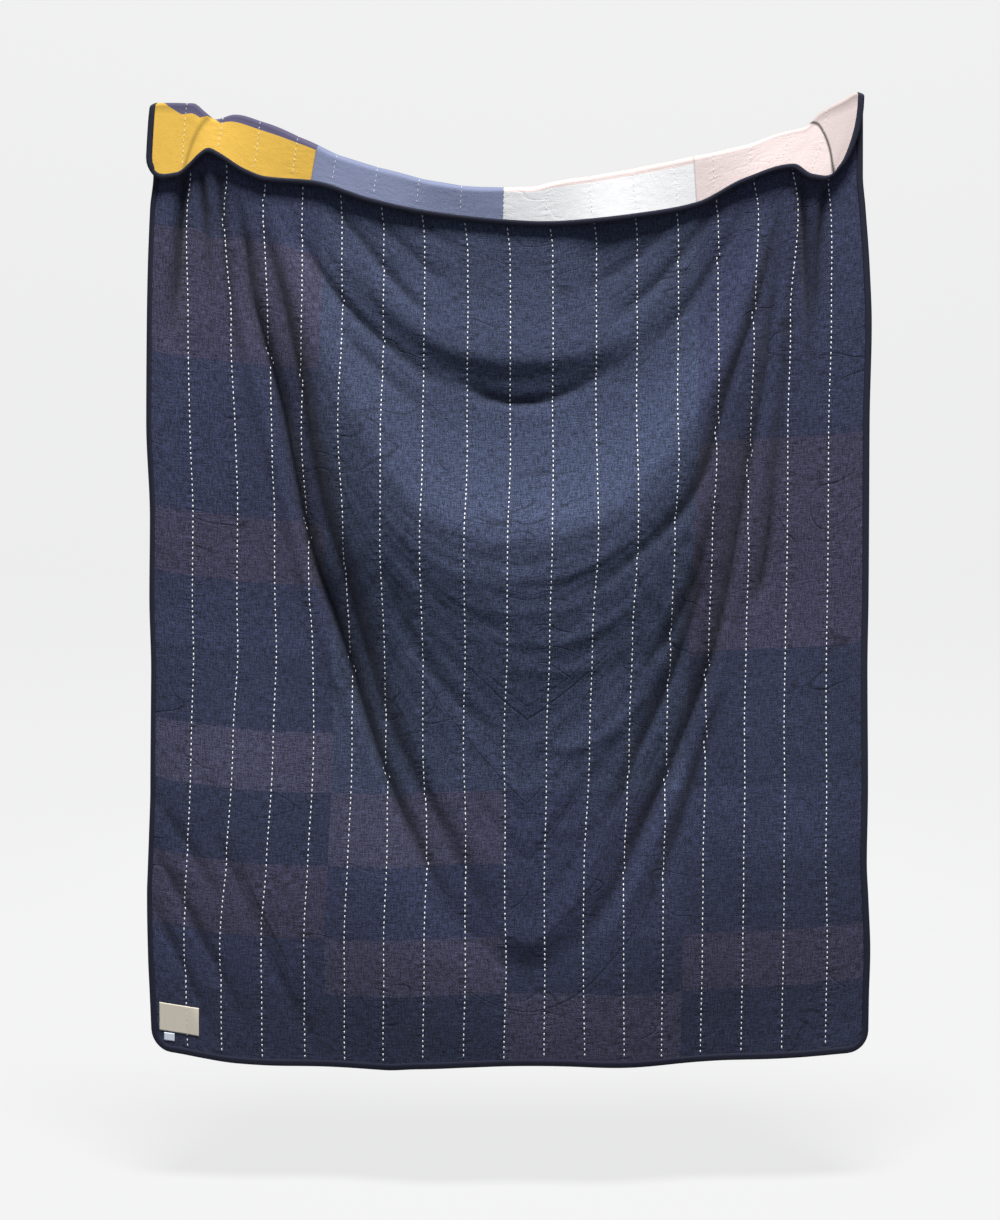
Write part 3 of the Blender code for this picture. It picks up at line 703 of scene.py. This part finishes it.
class Nodes:
    """One material and its nodes."""

    def __init__(self, name):
        self.material = bpy.data.materials.new(name)
        self.material.use_nodes = True
        self.tree = self.material.node_tree
        self.shader = self.tree.nodes["Principled BSDF"]
        self.shade({"Roughness": 0.92, "Specular IOR Level": 0.18})

    def node(self, kind, **values):
        made = self.tree.nodes.new(kind)
        for key, value in values.items():
            setattr(made, key, value)
        return made

    def plug(self, socket, value):
        if isinstance(value, bpy.types.NodeSocket):
            self.tree.links.new(value, socket)
        else:
            socket.default_value = value

    def fill(self, made, inputs):
        for name, value in inputs.items():
            self.plug(made.inputs[name], value)

    def shade(self, inputs):
        self.fill(self.shader, inputs)

    def math(self, operation, a, b=0.0, c=0.0):
        made = self.node("ShaderNodeMath", operation=operation)
        for socket, value in zip(made.inputs, (a, b, c)):
            self.plug(socket, value)
        return made.outputs[0]

    def mix(self, factor, a, b, blend="MIX"):
        made = self.node("ShaderNodeMix", data_type="RGBA", blend_type=blend)
        self.plug(made.inputs["Factor"], factor)
        self.plug(made.inputs[6], a if isinstance(a, bpy.types.NodeSocket) else (*a, 1.0))
        self.plug(made.inputs[7], b if isinstance(b, bpy.types.NodeSocket) else (*b, 1.0))
        return made.outputs[2]

    def uv(self, name="flat"):
        return self.node("ShaderNodeUVMap", uv_map=name).outputs[0]

    def split(self, vector):
        made = self.node("ShaderNodeSeparateXYZ")
        self.plug(made.inputs[0], vector)
        return made.outputs[0], made.outputs[1]

    def scaled(self, vector, x, y):
        made = self.node("ShaderNodeMapping")
        self.fill(made, {"Vector": vector, "Scale": (x, y, 1.0)})
        return made.outputs[0]

    def noise(self, vector, detail, rough):
        made = self.node("ShaderNodeTexNoise")
        self.fill(made, {"Vector": vector, "Scale": 1.0, "Detail": detail, "Roughness": rough})
        return made.outputs["Fac"]

    def span(self, value, low, high, to_low=0.0, to_high=1.0):
        made = self.node("ShaderNodeMapRange")
        self.fill(made, {"Value": value, "From Min": low, "From Max": high, "To Min": to_low,
                         "To Max": to_high})
        return made.outputs[0]

    def steps(self, value, stops):
        """Colour that changes at each stop: (end, colour), ends rising to 1."""
        made = self.node("ShaderNodeValToRGB")
        ramp = made.color_ramp
        ramp.interpolation = "CONSTANT"
        start = 0.0
        for number, (end, colour) in enumerate(stops):
            spot = ramp.elements[0] if number == 0 else ramp.elements.new(start)
            spot.position = start
            spot.color = (*colour, 1.0)
            start = end
        while len(ramp.elements) > len(stops):
            ramp.elements.remove(ramp.elements[-1])
        self.plug(made.inputs[0], value)
        return made.outputs[0]

    def by_column(self, uv, columns, tones):
        """Colour of the patch under each point: four columns, each with its own rows."""
        u, v = self.split(uv)
        share = self.math("DIVIDE", v, CUT_LENGTH)
        colour = None
        for number, column in enumerate(columns):
            stops = [(end / CUT_LENGTH, tones[key]) for end, key in zip(ROW_ENDS, column)]
            tint = self.steps(share, stops)
            if colour is None:
                colour = tint
            else:
                right = self.math("GREATER_THAN", u, number * CUT_WIDTH / 4)
                colour = self.mix(right, colour, tint)
        return colour

    def slubs(self, uv, size=1.0):
        """Uneven threads both ways with a fine speckle: a value round 0.5."""
        weft = self.noise(self.scaled(uv, 60 * size, 420 * size), 3.0, 0.7)
        warp = self.noise(self.scaled(uv, 400 * size, 55 * size), 3.0, 0.7)
        speckle = self.noise(self.scaled(uv, 480 * size, 480 * size), 2.0, 0.7)
        threads = self.math("ADD", weft, warp)
        total = self.math("ADD", threads, self.math("MULTIPLY", speckle, 1.5))
        return self.math("DIVIDE", total, 3.5)

    def creases(self, uv, across, along, seed):
        """Thin wandering crease lines: 1 on a line, 0 away from it."""
        wander = self.noise(self.scaled(uv, across, along), 1.0, 0.4)
        off = self.math("ABSOLUTE", self.math("SUBTRACT", wander, seed))
        line = self.span(off, 0.0, 0.018, 1.0, 0.0)
        patchy = self.noise(self.scaled(uv, 7.0, 6.0), 1.0, 0.5)
        return self.math("MULTIPLY", line, self.span(patchy, 0.53, 0.69))

    def bump(self, height, strength, distance, normal=None):
        made = self.node("ShaderNodeBump")
        self.fill(made, {"Strength": strength, "Distance": distance, "Height": height})
        if normal is not None:
            self.plug(made.inputs["Normal"], normal)
        return made.outputs[0]


def cloth_normal(n, uv, slub, lines, pucker, rumple, crease, base=None):
    """Weave, slubs, crease lines and the small puckers on both sides of the stitched rows."""
    u, _ = n.split(uv)
    near = n.math("PINGPONG", n.math("ADD", u, ROW_PITCH / 2), ROW_PITCH / 2)
    near = n.span(near, ROW_PITCH / 2 - 0.022, ROW_PITCH / 2)
    folds = n.noise(n.scaled(uv, 22, 95), 2.0, 0.5)
    puckers = n.bump(n.math("MULTIPLY", folds, near), 0.8, pucker, base)
    wrinkle = n.noise(n.scaled(uv, 11, 8), 4.0, 0.6)
    rumpled = n.bump(wrinkle, 0.6, rumple, puckers)
    creased = n.bump(lines, crease, -0.0022, rumpled)
    return n.bump(slub, 0.45, 0.0016, creased)


def multiplied(n, base, shade):
    """A colour times a plain factor."""
    grey = n.node("ShaderNodeCombineColor")
    for socket in grey.inputs:
        n.plug(socket, shade)
    return n.mix(1.0, base, grey.outputs[0], "MULTIPLY")


def back_material():
    n = Nodes("indigo_backing")
    uv = n.uv()
    slub = n.slubs(uv)
    base = n.by_column(uv, THROUGH, THROUGH_TONES)
    light = n.math("POWER", n.span(slub, 0.43, 0.57, 0.34, 1.66), 1.3)
    blotch = n.span(n.noise(n.scaled(uv, 2.2, 2.2), 3.0, 0.55), 0.3, 0.7, 0.90, 1.10)
    shade_depth, width = n.split(n.uv("fold"))
    # Painted shade in the creases: the colour falls to 0.36 of itself where the folds are deepest
    crease_shade = n.span(shade_depth, 0.0, 1.0, 1.0, 0.36)
    lines = n.math("ADD", n.creases(n.uv("drape"), 4, 13, 0.52), n.creases(uv, 8, 13, 0.5))
    # Random blotches of tone, and painted shade along the thin crease lines
    blotch_and_line_shade = n.math("MULTIPLY", blotch, n.span(lines, 0.0, 1.0, 1.0, 0.55))
    shade = n.math("MULTIPLY", n.math("MULTIPLY", light, blotch_and_line_shade), crease_shade)
    n.shade({"Base Color": multiplied(n, base, shade)})
    nested = n.noise(n.scaled(n.uv("drape"), 5.0, 6.5), 2.0, 0.45)
    streaks = n.bump(n.math("MULTIPLY", nested, width), 1.0, 0.015)
    normal = cloth_normal(n, uv, slub, lines, 0.0036, 0.008, 0.35, streaks)
    n.shade({"Normal": normal, "Sheen Weight": 0.12, "Sheen Roughness": 0.5})
    return n.material


def first_seam(n, u, v):
    """How far the first cross seam lies off its row near the left grip and the left edge."""
    corner = n.span(u, 0.012, 0.070, 0.026, 0.0)
    notch = n.math("ABSOLUTE", n.math("SUBTRACT", u, 0.132))
    moved = n.math("MAXIMUM", corner, n.span(notch, 0.0, 0.022, 0.022, 0.0))
    return n.math("MULTIPLY", moved, n.span(v, 0.14, 0.20, 1.0, 0.0))


def grip_shade(n, u, v, grip):
    """Painted shade along the crease below a grip, and which side of it a point of the flap is."""
    up = n.math("SUBTRACT", FLAP_LENGTH, v)
    slanted = n.math("MULTIPLY", up, grip["slant"])
    off = n.math("SUBTRACT", n.math("SUBTRACT", u, grip["at"]), slanted)
    line = n.span(n.math("ABSOLUTE", off), 0.0005, grip["width"], grip["dark"], 1.0)
    on_flap = n.math("LESS_THAN", v, FLAP_LENGTH + 0.01)
    line = n.math("MAXIMUM", line, n.math("SUBTRACT", 1.0, on_flap))
    return line, n.math("MULTIPLY", n.span(off, 0.0, 0.006), on_flap)


def front_material():
    n = Nodes("pieced_cotton")
    uv = n.uv()
    u, v = n.split(uv)
    slub = n.slubs(uv)
    moved = n.node("ShaderNodeCombineXYZ")
    n.plug(moved.inputs[0], u)
    n.plug(moved.inputs[1], n.math("SUBTRACT", v, first_seam(n, u, v)))
    base = n.by_column(moved.outputs[0], PATCHES, PATCH_TONES)
    light = n.span(slub, 0.38, 0.64, 0.94, 1.04)
    seam = n.span(n.math("PINGPONG", n.math("ADD", u, CUT_WIDTH / 8), CUT_WIDTH / 8),
                  CUT_WIDTH / 8 - 0.0022, CUT_WIDTH / 8 - 0.0004, 1.0, 0.72)
    # Painted shade along the crest of the fold, down to half the colour, where the roll faces the
    # light
    crest = n.span(n.math("ABSOLUTE", n.math("SUBTRACT", v, FLAP_LENGTH)), 0.006, 0.022, 0.5, 1.0)
    shade = n.math("MULTIPLY", n.math("MULTIPLY", light, seam), crest)
    # Painted shade along the crease below each grip, and a shaded tone on the flap beyond it
    for grip in GRIPS:
        line, shade_beyond = grip_shade(n, u, v, grip)
        shade = n.math("MULTIPLY", shade, line)
        base = n.mix(shade_beyond, base, multiplied(n, base, grip["shade_beyond"]))
    n.shade({"Base Color": multiplied(n, base, shade)})
    lines = n.math("ADD", n.creases(uv, 9, 14, 0.5), n.creases(uv, 16, 7, 0.44))
    n.shade({"Normal": cloth_normal(n, uv, slub, lines, 0.0008, 0.0025, 0.10)})
    return n.material


def tape_material():
    n = Nodes("edge_tape")
    uv = n.uv()
    slub = n.slubs(uv, 1.6)
    tone = n.mix(n.span(slub, 0.35, 0.65), (0.007, 0.008, 0.018), (0.017, 0.019, 0.038))
    n.shade({"Base Color": tone, "Normal": n.bump(slub, 0.4, 0.0008), "Roughness": 0.8,
             "Specular IOR Level": 0.2})
    return n.material


def plain_material(name, colour, rough=0.9):
    n = Nodes(name)
    coords = n.node("ShaderNodeTexCoord").outputs["Object"]
    weave = n.noise(n.scaled(coords, 900, 900), 2.0, 0.6)
    low = tuple(0.88 * part for part in colour)
    tint = n.mix(weave, low, colour)
    n.shade({"Base Color": tint, "Normal": n.bump(weave, 0.3, 0.0004), "Roughness": rough})
    return n.material


# Pieces


def fine_columns():
    """Where the columns of the two cloths' grids lie across the cut width."""
    steps = np.linspace(CORNER, CUT_WIDTH - CORNER, COLUMNS + 1)
    edge = np.array(EDGE_STEPS)
    return np.concatenate([edge, steps, CUT_WIDTH - edge[::-1]])


def make_sheet(name, node, side, grid, material):
    """One cloth of the quilt, on the front (1) or the back (-1) of the surface between them."""
    points, normal, u, v, along = grid
    lift = side * (LAYER_GAP / 2 + puff_height(u, v))
    maps = {"flat": np.stack([u, along], axis=-1)}
    if side < 0:
        # The fold map carries the depth for the painted shade in the creases, and the width of the
        # folds
        maps["drape"], maps["fold"] = drape(points)
        maps["fold"] *= (v > 2)[..., None]
    obj = grid_object(name, points + normal * lift[..., None], maps)
    if side < 0:
        flip(obj)
    thicken(obj, SHEET)
    obj.data.materials.append(material)
    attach(obj, "root")
    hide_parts(node)
    return obj


def make_tape(material):
    """The tape as one surface from arm to arm round the edge, then thickened outwards."""
    steps = np.linspace(CORNER, CUT_WIDTH - CORNER, COLUMNS + 1)
    depth = np.array([0.0, 0.0012, 0.003, 0.007, TAPE_ARM])
    more = np.array([0.022, 0.030])
    u_line = np.concatenate([depth, more, steps, CUT_WIDTH - more[::-1], CUT_WIDTH - depth[::-1]])
    up_line = np.concatenate([depth, more, [CORNER]])
    points, normal, u, v, along = quilt_grid(u_line, up_line, 12, PANEL_STEPS)
    rows, cols = points.shape[:2]
    row_in = np.minimum(np.arange(rows), np.arange(rows)[::-1])[:, None]
    col_in = np.minimum(np.arange(cols), np.arange(cols)[::-1])[None, :]
    ring = np.minimum(row_in, col_in)
    full = LAYER_GAP / 2 + SHEET + TAPE_CLEAR
    level = np.interp(ring, [0, 1, 2, 3, 4], [0.35 * full, 0.8 * full, full, full, full])
    keep = len(depth) - 1
    bm = bmesh.new()
    layer = bm.loops.layers.uv.new("flat")
    used = [(r, c) for r in range(rows) for c in range(cols) if ring[r, c] <= keep]
    arms = []
    for side in (1, -1):
        arms.append({rc: bm.verts.new(points[rc] + normal[rc] * side * level[rc])
                     for rc in used})
    where = {}
    for arm in arms:
        for rc, vert in arm.items():
            where[vert] = (u[rc], along[rc])
    for side, arm in zip((1, -1), arms):
        for r in range(rows - 1):
            for c in range(cols - 1):
                corners = [(r, c), (r, c + 1), (r + 1, c + 1), (r + 1, c)]
                if all(rc in arm for rc in corners):
                    loop = [arm[rc] for rc in corners]
                    bm.faces.new(loop if side > 0 else loop[::-1])
    rim = [(0, c) for c in range(cols)]
    rim += [(r, cols - 1) for r in range(1, rows)]
    rim += [(rows - 1, c) for c in range(cols - 2, -1, -1)]
    rim += [(r, 0) for r in range(rows - 2, 0, -1)]
    for k, here in enumerate(rim):
        after = rim[(k + 1) % len(rim)]
        bm.faces.new([arms[0][after], arms[0][here], arms[1][here], arms[1][after]])
    for face in bm.faces:
        for loop in face.loops:
            loop[layer].uv = where[loop.vert]
    data = bpy.data.meshes.new("edge_tape")
    bm.to_mesh(data)
    bm.free()
    obj = add_object("edge_tape", data)
    thicken(obj, TAPE)
    obj.data.materials.append(material)
    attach(obj, "root")
    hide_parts("binding")


def row_path(u_row, side):
    """Points and normals along one stitched row on one face of the quilt, evenly spaced."""
    dense = np.concatenate([np.linspace(0.0, 1.0, 60), np.linspace(1.0, 2.0, 40)[1:],
                            np.linspace(2.0, 3.0, 1500)[1:]])
    span = 0.0005
    u = np.stack([np.full(dense.shape, u_row - span), np.full(dense.shape, u_row),
                  np.full(dense.shape, u_row + span)], axis=1)
    v = np.repeat(dense[:, None], 3, axis=1)
    points = hang(u, v)
    normal = unit(np.cross(points[:, 2] - points[:, 0], np.gradient(points[:, 1], axis=0)))
    centre = points[:, 1] + normal * side * (LAYER_GAP / 2 + SHEET)
    run = np.concatenate([[0.0], np.cumsum(np.linalg.norm(np.diff(centre, axis=0), axis=1))])
    return centre, normal * side, run


def pick_faces(obj, wanted):
    """Select only the wanted faces of a mesh, in edit mode."""
    bpy.ops.object.mode_set(mode="EDIT")
    bpy.ops.mesh.select_mode(type="FACE")
    bpy.ops.mesh.select_all(action="DESELECT")
    bm = bmesh.from_edit_mesh(obj.data)
    for face in bm.faces:
        face.select = wanted(face)
    bm.select_flush_mode()
    bmesh.update_edit_mesh(obj.data)


def model_stitch():
    """One stitch along x, of length 1 and radius 1: a round tube whose two ends are drawn in."""
    bpy.ops.object.select_all(action="DESELECT")
    bpy.ops.mesh.primitive_cylinder_add(vertices=6, radius=1.0, depth=STITCH_BARREL,
                                        location=(0, 0, 0), rotation=(0, math.pi / 2, 0))
    obj = bpy.context.object
    bpy.ops.object.transform_apply(location=False, rotation=True, scale=False)
    for end in (-1, 1):
        pick_faces(obj, lambda face: face.normal.x * end > 0.99)
        step = end * (1 - STITCH_BARREL) / 2
        bpy.ops.mesh.extrude_region_move(TRANSFORM_OT_translate={"value": (step, 0, 0)})
        bpy.ops.transform.resize(value=(1, STITCH_TIP, STITCH_TIP), center_override=(0, 0, 0))
    bpy.ops.mesh.select_all(action="SELECT")
    bpy.ops.mesh.normals_make_consistent(inside=False)
    bpy.ops.object.mode_set(mode="OBJECT")
    shape = np.array([vert.co for vert in obj.data.vertices])
    faces = [tuple(face.vertices) for face in obj.data.polygons]
    bpy.data.objects.remove(obj)
    return shape, faces


def make_stitches(name, side, cloth, model, material):
    """Running stitches of one face: copies of the one stitch, each half sunk in the cloth."""
    tree = BVHTree.FromObject(cloth, bpy.context.evaluated_depsgraph_get())
    rng = np.random.default_rng(11 if side > 0 else 7)
    shape, model_faces = model
    thinner = FRONT_STITCH if side > 0 else 1.0
    verts = []
    faces = []
    for row in range(1, ROW_COUNT + 1):
        centre, normal, run = row_path(row * ROW_PITCH, side)
        start = TAPE_ARM + STITCH_MARGIN + (0.5 * STITCH_PITCH if side > 0 else 0.0)
        stops = np.arange(start, run[-1] - TAPE_ARM - STITCH_MARGIN, STITCH_PITCH)
        stops = stops + rng.uniform(-STITCH_SHIFT, STITCH_SHIFT, len(stops))
        for stop in stops:
            k = np.clip(np.searchsorted(run, stop), 1, len(run) - 1)
            tangent = unit(centre[min(k + 2, len(run) - 1)] - centre[max(k - 2, 0)])
            up = unit(normal[k] - tangent * np.dot(normal[k], tangent))
            tilt = rng.uniform(-STITCH_TILT, STITCH_TILT)
            tangent = unit(tangent + np.cross(up, tangent) * tilt)
            across = np.cross(up, tangent)
            length = STITCH_LENGTH * rng.uniform(0.85, 1.12)
            half = STITCH_WIDTH * rng.uniform(0.9, 1.1) / 2 * thinner
            axes = np.array([tangent * length, across * half, up * half * STITCH_FLAT])
            first = len(faces) // len(model_faces) * len(shape)
            spot, _, _, off = tree.find_nearest(centre[k] + up * STITCH_SEARCH)
            spot = np.array(spot) if off < 3 * STITCH_SEARCH else centre[k]
            verts.extend(spot + up * half * STITCH_LIFT + shape @ axes)
            faces.extend(tuple(first + corner for corner in face) for face in model_faces)
    data = bpy.data.meshes.new(name)
    data.from_pydata([tuple(vert) for vert in verts], [], faces)
    data.shade_smooth()
    obj = add_object(name, data)
    obj.data.materials.append(material)
    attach(obj, "root")


def make_label(name, cloth, material):
    """A small plain cloth that lies on the backing where its CAD node does."""
    size = LABELS[name]
    cells_x, cells_z = size["cells"]
    tree = BVHTree.FromObject(cloth, bpy.context.evaluated_depsgraph_get())
    spots = np.zeros((cells_z + 1, cells_x + 1, 3))
    flat = np.zeros((cells_z + 1, cells_x + 1, 2))
    for i in range(cells_z + 1):
        for j in range(cells_x + 1):
            right = j / cells_x
            x = (size["left"] + right * (size["right"] - size["left"])) * MM
            up = size["foot"] + i / cells_z * (size["top"] - size["foot"])
            z = (up - right * size["fall"]) * MM
            hit = tree.ray_cast((x, -1.0, z), (0.0, 1.0, 0.0))[0]
            spots[i, j] = (x, hit.y - 0.0004, z)
            flat[i, j] = (x, z)
    obj = grid_object(name + "_cloth", spots, {"flat": flat})
    thicken(obj, 0.0006)
    obj.data.materials.append(material)
    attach(obj, "root")
    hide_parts(name)


# Scene

# The view: its height in pixels, metres to a pixel at the quilt, its middle, the camera's
# distance from there, the sensor's height in millimetres
VIEW_PIXELS = 1220
PIXEL = 0.0019
VIEW_MIDDLE = (-0.01425, 0.018, -0.7935)
VIEW_FROM = 3.2
SENSOR = 24.0

# The backdrop: half its width, the floor's height and front end, the bend up to the wall
STAGE_HALF = 9.0
FLOOR_Z = -1.88
FLOOR_FRONT = -6.0
BEND_AT = 0.9
BEND_RADIUS = 1.2
BEND_STEPS = 12
WALL_TOP = 5.0


def add_camera():
    """The camera of the photograph: level, and square to the quilt."""
    data = bpy.data.cameras.new("camera")
    data.sensor_fit = "VERTICAL"
    data.sensor_height = SENSOR
    data.lens = SENSOR * VIEW_FROM / (VIEW_PIXELS * PIXEL)
    obj = add_object("camera", data)
    x, y, z = VIEW_MIDDLE
    obj.location = (x, y - VIEW_FROM, z)
    obj.rotation_euler = (math.pi / 2, 0.0, 0.0)
    bpy.context.scene.camera = obj


def add_area(name, location, target, size, power):
    """An area light aimed at a point."""
    data = bpy.data.lights.new(name, "AREA")
    data.shape = "RECTANGLE"
    data.size, data.size_y = size
    data.energy = power
    obj = add_object(name, data)
    obj.location = location
    aim = np.array(target) - np.array(location)
    flat = math.hypot(aim[0], aim[1])
    obj.rotation_euler = (math.atan2(flat, -aim[2]), 0.0, math.atan2(-aim[0], aim[1]))
    obj.visible_camera = False


def add_backdrop():
    """A pale floor that sweeps up into a pale wall."""
    profile = [(FLOOR_FRONT, FLOOR_Z), (BEND_AT, FLOOR_Z)]
    for k in range(1, BEND_STEPS + 1):
        turn = k / BEND_STEPS * math.pi / 2
        profile.append((BEND_AT + BEND_RADIUS * math.sin(turn),
                        FLOOR_Z + BEND_RADIUS * (1 - math.cos(turn))))
    profile.append((BEND_AT + BEND_RADIUS, WALL_TOP))
    bm = bmesh.new()
    left = [bm.verts.new((-STAGE_HALF, y, z)) for y, z in profile]
    right = [bm.verts.new((STAGE_HALF, y, z)) for y, z in profile]
    for k in range(len(profile) - 1):
        bm.faces.new([left[k], right[k], right[k + 1], left[k + 1]])
    data = bpy.data.meshes.new("backdrop")
    bm.to_mesh(data)
    bm.free()
    data.shade_smooth()
    obj = add_object("backdrop", data)
    n = Nodes("backdrop")
    n.shade({"Base Color": (0.06, 0.06, 0.06, 1.0), "Roughness": 1.0, "Specular IOR Level": 0.0,
             "Emission Color": (1.0, 1.0, 1.0, 1.0), "Emission Strength": 0.775})
    data.materials.append(n.material)
    obj.visible_diffuse = False


def add_world():
    world = bpy.data.worlds.new("studio")
    world.use_nodes = True
    back = world.node_tree.nodes["Background"]
    back.inputs["Color"].default_value = (0.86, 0.94, 1.12, 1.0)
    back.inputs["Strength"].default_value = 0.21
    bpy.context.scene.world = world


bpy.context.scene.view_settings.view_transform = "Standard"
add_camera()
add_world()
add_backdrop()
add_area("key", (0.2, -3.0, 8.8), (0.0, 0.0, -0.7), (4.0, 2.2), 2450.0)
add_area("rear_fill", (0.0, 1.7, -0.5), (0.0, 0.0, -0.8), (2.4, 1.6), 16.0)

hem_steps = np.array([*EDGE_STEPS, CORNER])
fine = quilt_grid(fine_columns(), hem_steps, ROLL_STEPS, PANEL_STEPS)
front = make_sheet("quilt_front", "pieced_top", 1, fine, front_material())
back = make_sheet("quilt_back", "back_cloth", -1, fine, back_material())
make_tape(tape_material())
thread = plain_material("white_thread", (0.86, 0.86, 0.84), 0.7)
stitch = model_stitch()
make_stitches("stitches_back", -1, back, stitch, thread)
make_stitches("stitches_front", 1, front, stitch, thread)
make_label("maker_label", back, plain_material("cream_label", (0.74, 0.67, 0.54)))
make_label("care_label", back, plain_material("white_label", (0.75, 0.78, 0.86), 0.5))
